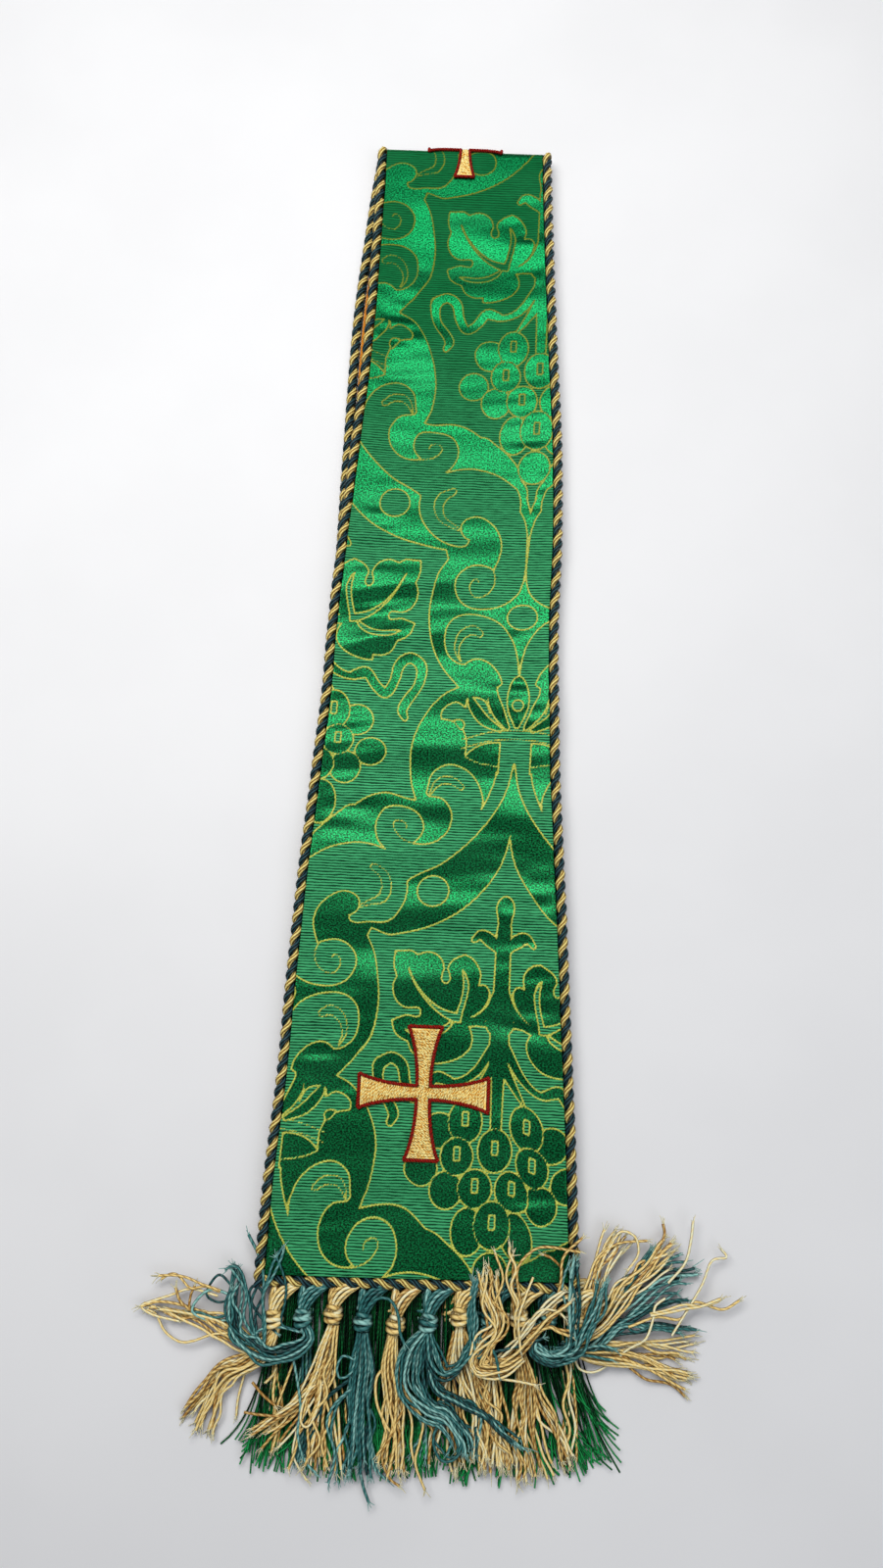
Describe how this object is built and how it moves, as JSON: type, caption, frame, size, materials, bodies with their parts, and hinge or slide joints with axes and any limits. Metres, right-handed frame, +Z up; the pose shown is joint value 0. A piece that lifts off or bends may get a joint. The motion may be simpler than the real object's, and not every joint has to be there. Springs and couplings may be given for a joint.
{
  "type": "folded clerical stole",
  "caption": "Short brocade stole folded at the neck and laid flat, with worked crosses, twisted edge cords, knotted tassels and a cut fringe at both hems.",
  "frame": {"origin": "on the surface that the stole lies on, midway between the hem cord and the neck fold", "axes": "+Z up from that surface, +Y from the fringed hem to the neck fold, +X to the right across the stole"},
  "size_m": [0.2381, 0.5838, 0.0124],
  "materials": {
    "brocade": "green satin figured brocade with gold outlines",
    "lining": "orange-gold plain satin lining",
    "edge_cord": "two-strand twisted cord, gold and dark blue",
    "gold_yarn": "twisted rayon yarn, old gold",
    "teal_yarn": "twisted rayon yarn, teal",
    "green_yarn": "cut rayon fringe, deep green",
    "cross_gold": "looped gold thread work",
    "cross_outline": "dark red couched cord"
  },
  "bodies": {
    "root": {"cord_left": "edge_cord", "cord_right": "edge_cord", "end_cross": "cross_gold", "end_cross_cord": "cross_outline", "green_fringe_lower": "green_yarn", "green_fringe_upper": "green_yarn", "hem_cord_lower": "edge_cord", "hem_cord_upper": "edge_cord", "lining": "lining", "lower_band": "brocade", "neck_cross": "cross_gold", "neck_cross_cord": "cross_outline", "tassel_lower_01": "gold_yarn", "tassel_lower_02": "teal_yarn", "tassel_lower_03": "gold_yarn", "tassel_lower_04": "teal_yarn", "tassel_lower_05": "gold_yarn", "tassel_lower_06": "teal_yarn", "tassel_lower_07": "gold_yarn", "tassel_lower_08": "teal_yarn", "tassel_lower_09": "gold_yarn", "tassel_lower_10": "teal_yarn", "tassel_lower_11": "gold_yarn", "tassel_upper_01": "gold_yarn", "tassel_upper_02": "teal_yarn", "tassel_upper_03": "gold_yarn", "tassel_upper_04": "teal_yarn", "tassel_upper_05": "gold_yarn", "tassel_upper_06": "teal_yarn", "tassel_upper_07": "gold_yarn", "tassel_upper_08": "teal_yarn", "tassel_upper_09": "gold_yarn", "tassel_upper_10": "teal_yarn", "tassel_upper_11": "gold_yarn", "upper_band": "brocade"}
  },
  "joints": []
}
